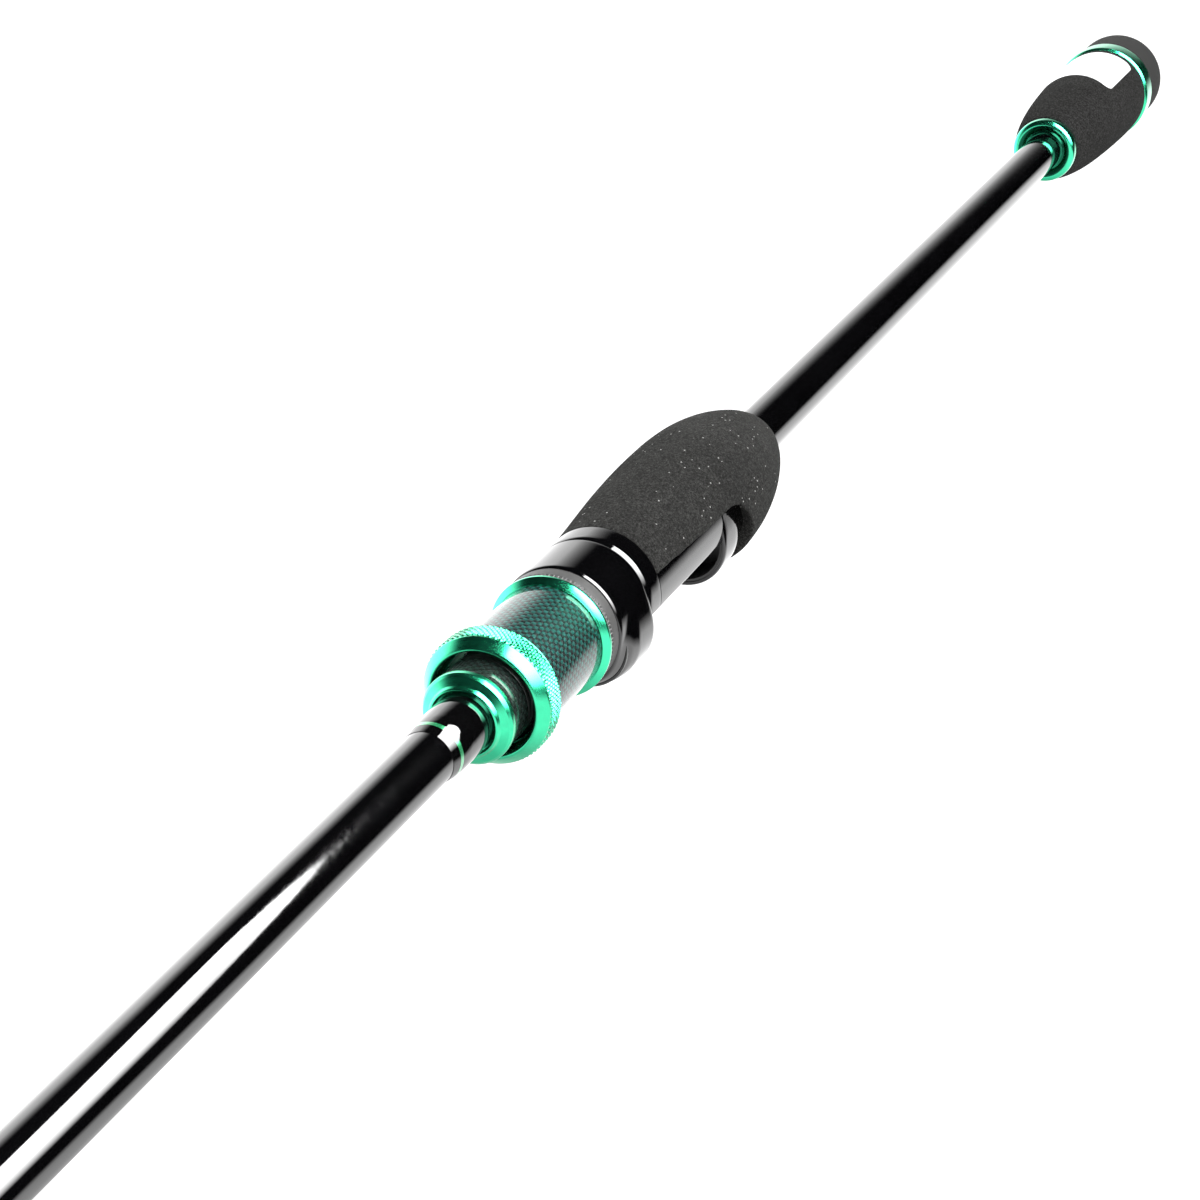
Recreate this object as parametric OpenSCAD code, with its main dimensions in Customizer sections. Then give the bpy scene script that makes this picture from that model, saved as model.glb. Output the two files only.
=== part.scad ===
// Two-piece split-grip spinning rod.
// Frame: origin at the centre of the butt end, +X along the rod to the tip,
// +Z up, line guides and reel foot on the -Z side. Millimetres.

/* [Blank] */
// Overall length of the assembled rod
rod_len = 2400; // [2350:5:2450]
// Outer radius of the blank under the rear grip
blank_r_butt = 5.25; // [5.2:0.05:5.25]
// Wall thickness of the butt section
blank_wall = 1.1; // [0.8:0.1:1.2]
// Outer radius of the blank at the tip-top
blank_r_tip = 0.85; // [0.8:0.05:0.95]
// Where the tip section's socket begins
ferrule_x = 1235; // [1230:1:1240]
// Length of the butt section inside the socket
ferrule_len = 75; // [70:1:80]
// Radial clearance of the tapered ferrule
ferrule_gap = 0.04; // [0.03:0.01:0.08]

/* [Rear grip] */
// Largest radius of the anodised butt ring
butt_ring_r = 14.4; // [14.3:0.1:14.8]
// Radius of the rubber butt cap
butt_cap_r = 13.8; // [13.5:0.1:14]
// Radius of the ring at the front of the rear grip
grip_ring_r = 9.1; // [8.8:0.1:9.2]
// Corner radius of the grip's name plate
plate_corner = 3; // [2:0.5:4]
// Thickness of the name plate
plate_t = 0.9; // [0.6:0.1:1.2]

/* [Reel seat] */
// Radius of the seat body at its front lip
lip_r = 12.1; // [11.9:0.1:12.3]
// Depth of the reel foot land below the axis
land_z = 9.8; // [9.6:0.1:10]
// Radius of the seat tube under the fore grip
seat_r = 10.2; // [10:0.1:10.4]
// Radius of the bore through the seat
seat_bore = 6.6; // [6.4:0.1:6.7]
// Crest radius of the seat's thread
thread_r = 8.2; // [8.1:0.05:8.2]
// Depth of the seat's thread
thread_d = 0.55; // [0.4:0.05:0.6]
// Pitch of the seat's thread
thread_p = 1.5; // [1.5:0.25:2]

/* [Hood and nut] */
// Lowest point of the sliding hood below the axis
hood_drop = 14.7; // [14.6:0.1:15]
// Outer radius of the carbon sleeve
sleeve_r = 10.55; // [10.5:0.05:10.6]
// Outer radius of the knurled front ring
knurl_r = 12.3; // [12:0.1:12.6]
// Radial clearance between the nut and the thread
nut_gap = 0.15; // [0.1:0.05:0.15]

/* [Guides] */
// Position of the stripper guide
guide_1_x = 1092; // [1085:1:1100]
// Thickness of a thread wrap with its finish
wrap_t = 0.35; // [0.3:0.05:0.45]

/* [Hidden] */
$fn = 96;

BLACK = [0.03, 0.03, 0.035];
EVA = [0.24, 0.24, 0.235];
GREEN = [0.10, 0.62, 0.43];
STEEL = [0.35, 0.36, 0.38];

// ---- blank outline as [x, r] pairs --------------------------------------
butt_end = ferrule_x + ferrule_len;
function lerp(a, b, t) = a + (b - a) * t;
// Outer radius of the butt section, straight between its breakpoints
function rb(x) = x <= 360 ? blank_r_butt
  : x <= 493 ? lerp(blank_r_butt, 4.95, (x - 360) / 133)
  : lerp(4.95, 3.56, (x - 493) / (butt_end - 493));
// Outer radius of the tip section
tip_r0 = rb(ferrule_x) + ferrule_gap + 0.85;
function rt(x) = lerp(tip_r0, blank_r_tip, (x - ferrule_x) / (rod_len - ferrule_x));
function blank_r(x) = x < ferrule_x ? rb(x) : rt(x);
BREAKS = [0, 360, 493, ferrule_x, rod_len + 10];
// Breakpoints of the outline that fall inside a stretch
function inside(a, b) = [for (v = BREAKS) if (v > a + 0.01 && v < b - 0.01) v];

// Smooth curve through [x, r] points
function cr1(a, b, c, d, t) = 0.5 * (2 * b + (c - a) * t + (2 * a - 5 * b + 4 * c - d) * t * t
  + (3 * b - a - 3 * c + d) * t * t * t);
function smooth(p, n) = [for (i = [0:len(p) - 2]) for (k = [0:n - 1])
  let (t = k / n, a = p[max(i - 1, 0)], b = p[i], c = p[i + 1], d = p[min(i + 2, len(p) - 1)])
  [cr1(a[0], b[0], c[0], d[0], t), cr1(a[1], b[1], c[1], d[1], t)], p[len(p) - 1]];
// Quarter-round between two [x, r] points about a centre
function arc(cx, cr, r, a0, a1, n) = [for (i = [0:n]) let (a = lerp(a0, a1, i / n))
  [cx + r * cos(a), cr + r * sin(a)]];

// Solid of revolution about the rod's axis from [x, r] points
module rev(pts, dz = 0, seam = 0) translate([0, 0, dz]) rotate([0, 90, 0]) rotate([0, 0, seam]) rotate_extrude()
  polygon([for (p = pts) [p[1], p[0]]]);
// Ring or tube along the axis
module tube(x0, x1, ro, ri) rev([[x0, ri], [x0, ro], [x1, ro], [x1, ri]]);
// Plain rod along the axis
module rodx(x0, x1, r, dz = 0) translate([x0, 0, dz]) rotate([0, 90, 0]) cylinder(h = x1 - x0, r = r);
// The space the blank takes up between two stations
module blank_solid(a, b) rev(concat([[a, 0]], [[a, blank_r(a)]],
  [for (v = inside(a, b)) [v, blank_r(v)]], [[b, blank_r(b)]], [[b, 0]]));
// A sleeve on the blank whose outside is given as [x, r] points from tip to butt
module on_blank(a, b, outer) rev(concat([[a, blank_r(a)]], [for (v = inside(a, b)) [v, blank_r(v)]],
  [[b, blank_r(b)]], outer));
// Round bar between two points
module bar(p, q, r) {
  v = q - p; l = norm(v);
  translate(p) rotate([0, acos(v[2] / l), atan2(v[1], v[0])]) cylinder(h = l, r = r, $fn = 24);
}
// Extrude a YZ outline along X
module along_x(x0, x1) translate([x0, 0, 0]) rotate([90, 0, 90]) linear_extrude(x1 - x0) children();

// ---- butt section ----------------------------------------------------------
module blank_butt() color(BLACK) rev([[8, blank_r_butt], [360, blank_r_butt], [493, 4.95],
  [butt_end, 3.56], [butt_end, 3.56 - blank_wall * 0.8], [493, 4.95 - blank_wall],
  [8, blank_r_butt - blank_wall]]);

module butt_cap() color([0.16, 0.16, 0.16]) rev(concat([[0, 0], [0, 7.6]],
  arc(6, 7.8, butt_cap_r - 7.8, 180, 90, 10), [[18.6, butt_cap_r], [18.9, butt_cap_r - 0.7],
  [20, butt_cap_r - 0.7], [20, 9], [28, 9], [28, blank_r_butt], [8, blank_r_butt], [8, 0]]));

module butt_ring() color(GREEN) rev([[20, 9], [20, 13.7], [20.5, 14.1], [21.2, butt_ring_r],
  [26.8, butt_ring_r], [27.6, 14.2], [28, 13.9], [28, 9]]);

GRIP = smooth([[28, 13.8], [31, 14], [36, 14.05], [45, 13.9], [54, 13.6], [63, 13.2], [72, 12.7],
  [81, 11.95], [89, 10.95], [94, 10.05], [97, 9.3]], 3);
// Outline of the name plate seen from the side
module plate_outline(g) rotate([90, 0, 0]) linear_extrude(40, center = true) {
  translate([31 - g + plate_corner, -g]) square([29 + 2 * g - 2 * plate_corner, 20]);
  translate([31 - g, plate_corner - g]) square([29 + 2 * g, 20]);
  for (x = [31 - g + plate_corner, 60 + g - plate_corner]) translate([x, plate_corner - g]) circle(plate_corner);
}
module butt_grip_eva() color(EVA) difference() {
  rev(concat([[28, blank_r_butt]], GRIP, [[97, blank_r_butt]]));
  intersection() {
    rev([for (p = GRIP) [p[0], p[1] + 1], [97, 9], [95, 8], for (i = [len(GRIP) - 1:-1:0]) [GRIP[i][0], min(GRIP[i][1] - plate_t, 13.3)]]);
    plate_outline(0);
  }
}
module butt_name_plate() color([0.95, 0.95, 0.95]) intersection() {
  rev(concat([for (p = GRIP) if (p[0] < 80) [p[0], p[1] - 0.08]],
    [for (i = [len(GRIP) - 1:-1:0]) if (GRIP[i][0] < 80) [GRIP[i][0], min(GRIP[i][1] - plate_t, 13.3)]]));
  plate_outline(0);
}
module butt_front_ring() color(GREEN) rev(concat([[97, blank_r_butt]], [[97, grip_ring_r - 0.5]],
  arc(99, grip_ring_r - 2, 2, 115, 0, 10), [[101, 6.4], [100, 5.9], [100, blank_r_butt]]));

// ---- fore grip and seat ------------------------------------------------------
FORE = smooth([[353, 6.5], [354.1, 7.4], [356.7, 8.8], [361.2, 10.55], [368.2, 12.55], [376.2, 14], [384, 14.62], [391, 14.7],
  [398.4, 14.6], [406, 14.25], [413.3, 13.75], [420.5, 13.1], [427.6, 12.45], [432.4, 12.1]], 2);
// Foot-side window of the fore grip, wider by g
module window(g) intersection() {
  along_x(370, 440) polygon([[0, 0.01 + g / 2], [24 * sin(66), -24 * cos(66) + g], [24 * sin(66), -40],
    [-24 * sin(66), -40], [-24 * sin(66), -24 * cos(66) + g]]);
  translate([0, 0, -30]) linear_extrude(30) {
    translate([399, 0]) circle(13.2 + g);
    translate([399, -13.2 - g]) square([60, 26.4 + 2 * g]);
  }
}
module fore_grip_eva() color(EVA) difference() {
  rev(concat([[353, blank_r_butt]], FORE, [[432.4, seat_r], [372, seat_r], [372, rb(372)], [360, blank_r_butt]]));
  window(0.1);
}
function ridges(x0, n) = [for (i = [0:n - 1]) let (a = x0 + i * thread_p)
  for (q = [[a, thread_r - thread_d], [a + 0.3, thread_r], [a + 0.75, thread_r], [a + 1.05, thread_r - thread_d]]) q];
module seat_body() color(BLACK) difference() {
  union() {
    rodx(372, 432.4, seat_r);
    rev([[432.4, 0], [432.4, lip_r - 0.1], [432.8, lip_r], [438, lip_r], [438.6, lip_r - 0.35], [438.6, 0]]);
    intersection() { rodx(380, 434, lip_r); window(-0.05); }
    rev(concat(arc(394, 0, 9.5, 180, 92, 12), [[399.6, 9.5], [400, 9.2], [400, 0]]), -4.6);
    rev(concat([[438.6, 0]], [[438.6, thread_r - thread_d]], ridges(440.5, floor(43.5 / thread_p)),
      [[484.5, thread_r - thread_d], [484.5, 7.4], [490, 7.4], [490, 0]]));
  }
  translate([400, -20, -20]) cube([39, 40, 20 - land_z]);
  intersection() {
    rodx(391, 401, 8.7, -4.6);
    translate([390, -20, -20]) cube([12, 40, 20 - land_z + 0.1]);
  }
  rodx(371, 491, seat_bore);
  translate([438.6, -1.2, 7.4]) cube([45.9, 2.4, 3]);
}
module arbor(a, b) on_blank(a, b, [[b, seat_bore], [a, seat_bore]]);
module seat_arbors() color([0.5, 0.5, 0.47]) { arbor(374, 392); arbor(406, 426); arbor(444, 462); arbor(472, 488); }
module fixed_hood_liner() color([0.1, 0.1, 0.1]) intersection() {
  difference() { rodx(391, 399.6, 8.7, -4.6); rodx(391.8, 401, 8.2, -4.6); }
  translate([388, -20, -20]) cube([14, 40, 20 - land_z - 0.2]);
}
module carbon_tube_front() color([0.12, 0.14, 0.13]) tube(484.5, 490, 8.4, 7.4);
module winding_check() color(GREEN) on_blank(490, 493.4, [[493.4, 5.9], [493.1, 6.35], [492.5, 6.6],
  [491.5, 8.3], [491.1, 8.6], [490.3, 8.6], [490, 8.4]]);
module wrap_front() color(BLACK) { on_blank(493.4, 503.9, [[503.9, 5.56], [494, 5.6], [493.4, 5.5]]);
  on_blank(504.8, 506.9, [[506.9, rb(506.9) + 0.1], [506.2, 5.45], [504.8, 5.56]]); }
module wrap_front_band() color(GREEN) on_blank(503.9, 504.8, [[504.8, 5.57], [503.9, 5.57]]);

// ---- sliding hood ----------------------------------------------------------------
hood_c = -5.1;
hood_r = hood_drop + hood_c;
module sliding_hood() color(BLACK) difference() {
  union() {
    rev([[438.75, 0], [438.75, 11.9], [438.95, 12.07], [451.5, 11.95], [451.9, 11.6], [451.9, 0]]);
    rev([[438.75, 0], [438.75, hood_r - 0.15], [438.95, hood_r], [445.5, hood_r - 0.15], [449, hood_r - 1], [451.9, 6.4], [451.9, 0]], hood_c);
  }
  difference() { rodx(438, 453, 8.6); translate([438, -1, 7.6]) cube([15, 2, 3]); }
  intersection() {
    rodx(438, 449.6, hood_r - 1, hood_c);
    translate([438, -20, -20]) cube([12, 40, 20 - 6]);
  }
}
module hood_liner() color([0.1, 0.1, 0.1]) intersection() {
  difference() { rodx(439.1, 449.6, hood_r - 1, hood_c); rodx(439, 448.9, hood_r - 1.5, hood_c); rodx(438, 452, 9); }
  translate([438, -20, -20]) cube([12, 40, 20 - 9.4]);
}
module thrust_ring() color([0.43, 0.43, 0.42]) rev([[451.9, 9.75], [451.9, 11.5], [452.1, 11.7], [455.4, 11.7],
  [455.65, 11.5], [455.65, 9.75], [454.3, 9.75], [454.3, 10.35], [453.1, 10.35], [453.1, 9.75]]);
module retaining_ring() color(STEEL) difference() {
  tube(453.2, 454.2, 10.3, 9.2);
  translate([453, -1, 8]) cube([2, 2, 4]);
}
// ---- nut --------------------------------------------------------------------------
nut_bore = thread_r + nut_gap;
module nut_core() color([0.75, 0.76, 0.78]) rev([[452.2, nut_bore], [452.2, 9.2], [452.4, 9.4], [453, 9.4],
  [453, 9], [454.4, 9], [454.4, 9.4], [456, 9.4], [456, 9.6], [471, 9.6], [471, nut_bore]]);
module nut_rear_ring() color(GREEN) rev([[456, 9.6], [455.8, 9.8], [455.8, 11.75], [455.95, 11.9], [456.6, 11.9],
  [457.5, 10.7], [457.5, 9.6]]);
module nut_sleeve() color([0.12, 0.25, 0.22]) tube(457.5, 479, sleeve_r, 9.6);
module nut_front_ring() color(GREEN) rev([[474, 9.05], [474, 9.55], [479, 9.55], [479, knurl_r - 0.5],
  [479.5, knurl_r], [483.4, knurl_r], [483.8, knurl_r - 0.35], [485.3, 10.5], [485.5, 10.2], [485.3, 9.8], [484.8, 9.7],
  [482, 9.7], [481.6, 9.05]]);

// ---- guides ------------------------------------------------------------------------
// [x, ring outside radius, ring inside radius, drop to ring centre, rear foot start, front foot end, two feet]
G = [[guide_1_x, 12.5, 9.8, 35, -31, 27, 1], [1405, 8.3, 6, 24.5, -25, 21, 1], [1641, 6.3, 4.4, 18.4, -21.5, 17.4, 1],
  [1845, 4.4, 2.9, 13, -17, 0, 0], [2010, 3.9, 2.4, 10.8, -15, 0, 0], [2150, 3.4, 1.95, 9, -14, 0, 0],
  [2275, 3.4, 1.95, 8.4, -14, 0, 0]];
FT = 0.7;
// Length of one foot under its wrap
function fl(g) = g[6] == 1 ? 9 + g[1] * 0.35 : 8;
// Top of a foot that starts at x
function fz(x) = -blank_r(x) - 0.06;
module foot(x0, x1, z) translate([0, 0, z - FT]) linear_extrude(FT)
  polygon(x0 < x1 ? [[x0, -0.5], [x1, -1.1], [x1, 1.1], [x0, 0.5]] : [[x1, -1.1], [x0, -0.5], [x0, 0.5], [x1, 1.1]]);
module guide_frame(g) {
  x = g[0]; ro = g[1]; z = -g[3]; lr = 0.55 + ro * 0.035; a = 52;
  rear = x + g[4]; l = fl(g);
  zr = fz(rear);
  color(STEEL) difference() { union() {
    translate([x, 0, z]) rotate([0, 90, 0]) rotate_extrude() polygon([[g[2] + 0.55, -0.55], [ro - 0.25, -0.8], [ro, -0.5], [ro, 0.5],
      [ro - 0.25, 0.8], [g[2] + 0.55, 0.55]]);
    foot(rear, rear + l + 1.5, zr);
    for (s = [-1, 1]) {
      bar([x, s * (ro - 0.5) * sin(a), z + (ro - 0.5) * cos(a)], [rear + l + 0.8, s * 0.55, zr - FT / 2], lr);
      translate([rear + l + 0.8, s * 0.55, zr - FT / 2 - 0.15]) sphere(lr - 0.1, $fn = 24);
    }
    if (g[6] == 1) {
      front = x + g[5]; zf = fz(front - l);
      foot(front, front - l - 1.5, zf);
      for (s = [-1, 1]) bar([x, s * (ro - 0.5) * sin(24), z + (ro - 0.5) * cos(24)], [front - l - 0.8, s * 0.4, zf - FT / 2], lr * 0.9);
    }
  }
  rodx(x - 1.2, x + 1.2, g[2] + 0.75, z); }
}
module guide_ring(g) color([0.08, 0.08, 0.09]) translate([g[0], 0, -g[3]]) rotate([0, 90, 0]) rotate_extrude()
  polygon(concat([for (i = [0:8]) let (t = 180 + i * 22.5 - 90) [g[2] + 0.42 + 0.42 * cos(t), 0.95 * sin(t) * -1]],
    [[g[2] + 0.75, 0.95 * 0.8], [g[2] + 0.75, -0.95 * 0.8]]));
// Thread wrap over a foot, from a to b, with the foot's own space left out;
// the hump lies between h0 (thin end) and h1
module wrap_on(a, b, h0, h1, z) difference() {
  union() {
    rev([[a, 0], [a, blank_r(a) + wrap_t * 0.5], [a + 0.8, blank_r(a) + wrap_t], [b - 0.8, blank_r(b) + wrap_t],
      [b, blank_r(b) + wrap_t * 0.5], [b, 0]], 0, 137);
    rev(h0 < h1 ? [[h0, 0], [h0, 1.0], [h0 + 1.8, 1.76], [h1 - 0.7, 1.76], [h1, 1.3], [h1, 0]]
      : [[h1, 0], [h1, 1.3], [h1 + 0.7, 1.76], [h0 - 1.8, 1.76], [h0, 1.0], [h0, 0]], z - FT + 1.05, 137);
  }
  rev([[a - 1, 0], [a - 1, lerp(blank_r(a), blank_r(b), -1 / (b - a))], [b + 1, lerp(blank_r(a), blank_r(b), 1 + 1 / (b - a))], [b + 1, 0]], 0, 90);
  children();
}
module guide_wraps(g) {
  rear = g[0] + g[4]; l = fl(g); zr = fz(rear);
  color(BLACK) {
    wrap_on(rear - 4, rear + l, rear - 3.6, rear + l - 0.3, zr) translate([0, 0, zr - FT - 0.02]) linear_extrude(FT + 0.6)
      polygon([[rear - 0.05, -0.55], [rear + l + 1.5, -1.15], [rear + l + 1.5, 1.15], [rear - 0.05, 0.55]]);
    if (g[6] == 1) {
      front = g[0] + g[5]; zf = fz(front - l);
      wrap_on(front - l, front + 4, front + 3.6, front - l + 0.3, zf) translate([0, 0, zf - FT - 0.02]) linear_extrude(FT + 0.6)
        polygon([[front + 0.05, -0.55], [front - l - 1.5, -1.15], [front - l - 1.5, 1.15], [front + 0.05, 0.55]]);
    }
  }
}
// ---- tip section -------------------------------------------------------------------
socket_end = ferrule_x + ferrule_len + 6;
module blank_tip() color(BLACK) rev([[ferrule_x, rb(ferrule_x) + ferrule_gap], [ferrule_x, tip_r0],
  [rod_len - 2, rt(rod_len - 2)], [rod_len - 2, 0.35], [socket_end + 14, rb(butt_end) - 1.2],
  [socket_end, rb(butt_end) + ferrule_gap], [butt_end, rb(butt_end) + ferrule_gap]]);
module ferrule_wrap() color(BLACK) { on_blank(ferrule_x + 1.2, ferrule_x + 34, [[ferrule_x + 34, rt(ferrule_x + 34) + 0.35], [ferrule_x + 1.2, rt(ferrule_x) + 0.4]]);
  on_blank(ferrule_x + 35.2, ferrule_x + 38, [[ferrule_x + 38, rt(ferrule_x + 38) + 0.12], [ferrule_x + 35.2, rt(ferrule_x + 35) + 0.35]]); }
module ferrule_trim() color(GREEN) { on_blank(ferrule_x, ferrule_x + 1.2, [[ferrule_x + 1.2, tip_r0 + 0.38], [ferrule_x, tip_r0 + 0.3]]);
  on_blank(ferrule_x + 34, ferrule_x + 35.2, [[ferrule_x + 35.2, rt(ferrule_x + 35) + 0.34], [ferrule_x + 34, rt(ferrule_x + 34) + 0.34]]); }
TT = [rod_len + 1.5, 3.2, 1.8, 4.6];
module tip_top_frame() color(STEEL) difference() { union() {
  rev([[rod_len - 12, rt(rod_len - 12) + 0.06], [rod_len - 12, 1.5], [rod_len - 0.5, 1.42], [rod_len, 1.1], [rod_len, 0],
    [rod_len - 1.2, 0], [rod_len - 1.2, rt(rod_len - 2) + 0.06]]);
  translate([TT[0], 0, -TT[3]]) rotate([0, 90, 0]) rotate_extrude() polygon([[TT[2] + 0.6, -0.5], [TT[1] - 0.2, -0.7], [TT[1], -0.4],
    [TT[1], 0.4], [TT[1] - 0.2, 0.7], [TT[2] + 0.6, 0.5]]);
  for (s = [-1, 1]) bar([rod_len - 7, s * 0.9, -0.9], [TT[0], s * 2.2, -TT[3] + 1.9], 0.45);
  bar([rod_len - 0.8, 0, -0.5], [TT[0], 0, -TT[3] + 2.9], 0.55);
  }
  rodx(TT[0] - 1.2, TT[0] + 1.2, TT[2] + 0.75, -TT[3]); }
module tip_top_wrap() color(BLACK) on_blank(rod_len - 17, rod_len - 12, [[rod_len - 12, 1.5], [rod_len - 13, rt(rod_len - 13) + 0.35],
  [rod_len - 16, rt(rod_len - 16) + 0.35], [rod_len - 17, rt(rod_len - 17) + 0.1]]);

blank_butt();
butt_cap();
butt_ring();
butt_grip_eva();
butt_name_plate();
butt_front_ring();
fore_grip_eva();
seat_body();
seat_arbors();
fixed_hood_liner();
carbon_tube_front();
winding_check();
wrap_front();
wrap_front_band();
sliding_hood();
hood_liner();
thrust_ring();
retaining_ring();
nut_core();
nut_rear_ring();
nut_sleeve();
nut_front_ring();
guide_frame(G[0]);  // guide_1_frame
guide_ring(G[0]);  // guide_1_ring
guide_wraps(G[0]);  // guide_1_wraps
blank_tip();
ferrule_wrap();
ferrule_trim();
guide_frame(G[1]);  // guide_2_frame
guide_ring(G[1]);  // guide_2_ring
guide_wraps(G[1]);  // guide_2_wraps
guide_frame(G[2]);  // guide_3_frame
guide_ring(G[2]);  // guide_3_ring
guide_wraps(G[2]);  // guide_3_wraps
guide_frame(G[3]);  // guide_4_frame
guide_ring(G[3]);  // guide_4_ring
guide_wraps(G[3]);  // guide_4_wraps
guide_frame(G[4]);  // guide_5_frame
guide_ring(G[4]);  // guide_5_ring
guide_wraps(G[4]);  // guide_5_wraps
guide_frame(G[5]);  // guide_6_frame
guide_ring(G[5]);  // guide_6_ring
guide_wraps(G[5]);  // guide_6_wraps
guide_frame(G[6]);  // guide_7_frame
guide_ring(G[6]);  // guide_7_ring
guide_wraps(G[6]);  // guide_7_wraps
tip_top_frame();
guide_ring(TT);  // tip_top_ring
tip_top_wrap();
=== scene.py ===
import math

import bpy
import bmesh
import numpy as np
from mathutils import Matrix, Vector


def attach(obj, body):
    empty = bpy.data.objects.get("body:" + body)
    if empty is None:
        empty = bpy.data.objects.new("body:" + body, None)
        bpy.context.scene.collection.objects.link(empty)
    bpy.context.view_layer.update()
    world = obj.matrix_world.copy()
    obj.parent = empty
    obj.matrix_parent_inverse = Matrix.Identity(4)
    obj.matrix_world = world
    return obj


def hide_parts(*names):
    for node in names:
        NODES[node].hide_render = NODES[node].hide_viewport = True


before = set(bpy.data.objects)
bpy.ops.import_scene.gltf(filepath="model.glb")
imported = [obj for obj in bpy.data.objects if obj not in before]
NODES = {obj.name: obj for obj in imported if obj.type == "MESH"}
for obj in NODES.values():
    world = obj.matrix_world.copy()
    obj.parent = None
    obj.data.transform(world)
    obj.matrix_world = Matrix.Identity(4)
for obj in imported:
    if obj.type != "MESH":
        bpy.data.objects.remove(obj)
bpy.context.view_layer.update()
MM = 0.001
TAU = 2 * math.pi
BUTT_END = 1310.0


# ------------------------------------------------------------------ camera
def make_camera():
    right = Vector((-0.3886, 0.6551, -0.6479))
    back = Vector((0.8377, 0.5440, 0.0476)).normalized()
    right = (right - back * right.dot(back)).normalized()
    up = back.cross(right).normalized()
    a = 0.004
    right, up = right * math.cos(a) - up * math.sin(a), up * math.cos(a) + right * math.sin(a)
    data = bpy.data.cameras.new("camera")
    data.lens = 81.0
    data.sensor_width = 36.0
    data.clip_start, data.clip_end = 0.02, 60
    cam = bpy.data.objects.new("camera", data)
    m = Matrix((right, up, back)).transposed().to_4x4()
    m.translation = Vector((0.8578, 0.2740, 0.0224))
    cam.matrix_world = m
    bpy.context.scene.collection.objects.link(cam)
    bpy.context.scene.camera = cam
    return cam


cam = make_camera()


# ------------------------------------------------------------------ blank outline
def lerp(a, b, t):
    return a + (b - a) * t


def rb(x):
    if x <= 360:
        return 5.25
    if x <= 493:
        return lerp(5.25, 4.95, (x - 360) / 133)
    return lerp(4.95, 3.56, (x - 493) / (BUTT_END - 493))


TIP_R0 = rb(1235) + 0.04 + 0.85


def rt(x):
    return lerp(TIP_R0, 0.85, (x - 1235) / (2400 - 1235))


def br(x):
    return rb(x) if x < 1235 else rt(x)


# ------------------------------------------------------------------ mesh tools
def mesh_object(name, verts, faces, mat, sharp=38, body="root", node=None, slot=None):
    me = bpy.data.meshes.new(name)
    me.from_pydata([tuple(v) for v in verts], [], [tuple(f) for f in faces])
    me.validate()
    ob = bpy.data.objects.new(name, me)
    bpy.context.scene.collection.objects.link(ob)
    bm = bmesh.new()
    bm.from_mesh(me)
    bmesh.ops.remove_doubles(bm, verts=bm.verts, dist=1e-7)
    bmesh.ops.dissolve_degenerate(bm, dist=1e-8, edges=bm.edges)
    bmesh.ops.recalc_face_normals(bm, faces=bm.faces)
    bm.to_mesh(me)
    bm.free()
    me.shade_smooth()
    if sharp:
        me.set_sharp_from_angle(angle=math.radians(sharp))
    if mat:
        me.materials.append(mat)
    if body:
        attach(ob, body)
    if node:
        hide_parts(*([node] if isinstance(node, str) else node))
    return ob


def loft(rings, closed):
    """rings: array (n, k, 3) of stations round the axis. closed joins the last station to the first."""
    rings = np.asarray(rings, float)
    n, k, _ = rings.shape
    verts = rings.reshape(-1, 3)
    faces = []
    last = n if closed else n - 1
    for i in range(last):
        a, b = i * k, ((i + 1) % n) * k
        for j in range(k):
            j2 = (j + 1) % k
            faces.append((a + j, a + j2, b + j2, b + j))
    if not closed:
        faces.append(tuple(range(k)))
        faces.append(tuple((n - 1) * k + j for j in reversed(range(k))))
    return verts * MM, faces


def fil(pts, n=5):
    """Closed profile of (x, r) or (x, r, fillet): returns the points with the corners rounded."""
    out = []
    m = len(pts)
    for i, p in enumerate(pts):
        f = p[2] if len(p) > 2 else 0
        a, b, c = np.array(pts[i - 1][:2]), np.array(p[:2]), np.array(pts[(i + 1) % m][:2])
        if f <= 0:
            out.append(tuple(b))
            continue
        u, v = (a - b), (c - b)
        lu, lv = np.linalg.norm(u), np.linalg.norm(v)
        u, v = u / lu, v / lv
        ang = math.acos(max(-1, min(1, float(u @ v))))
        t = min(f / math.tan(ang / 2), lu * 0.49, lv * 0.49)
        f = t * math.tan(ang / 2)
        bis = (u + v) / np.linalg.norm(u + v)
        c0 = b + bis * (f / math.sin(ang / 2))
        s, e = b + u * t, b + v * t
        a0 = math.atan2(*(s - c0)[::-1])
        a1 = math.atan2(*(e - c0)[::-1])
        d = (a1 - a0 + math.pi) % TAU - math.pi
        for q in range(n + 1):
            w = a0 + d * q / n
            out.append((c0[0] + f * math.cos(w), c0[1] + f * math.sin(w)))
    return out


def ring_of(x, r, segs, dz=0.0, th=None):
    th = np.linspace(0, TAU, segs, endpoint=False) if th is None else th
    r = np.broadcast_to(r, th.shape)
    return np.stack([np.full_like(th, x), r * np.sin(th), dz - r * np.cos(th)], 1)


def rev(name, pts, mat, segs=128, **kw):
    """Closed solid of revolution about the rod's axis from a closed (x, r[, fillet]) profile."""
    prof = fil(pts)
    v, f = loft([ring_of(x, max(r, 0.02), segs) for x, r in prof], True)
    return mesh_object(name, v, f, mat, **kw)


def smooth_curve(p, n):
    p = [np.array(q, float) for q in p]
    out = []
    for i in range(len(p) - 1):
        a, b, c, d = p[max(i - 1, 0)], p[i], p[i + 1], p[min(i + 2, len(p) - 1)]
        for k in range(n):
            t = k / n
            out.append(0.5 * (2 * b + (c - a) * t + (2 * a - 5 * b + 4 * c - d) * t * t + (3 * b - a - 3 * c + d) * t ** 3))
    out.append(p[-1])
    return [tuple(q) for q in out]


def interp_r(curve, x):
    xs = [q[0] for q in curve]
    rs = [q[1] for q in curve]
    return float(np.interp(x, xs, rs))


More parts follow.
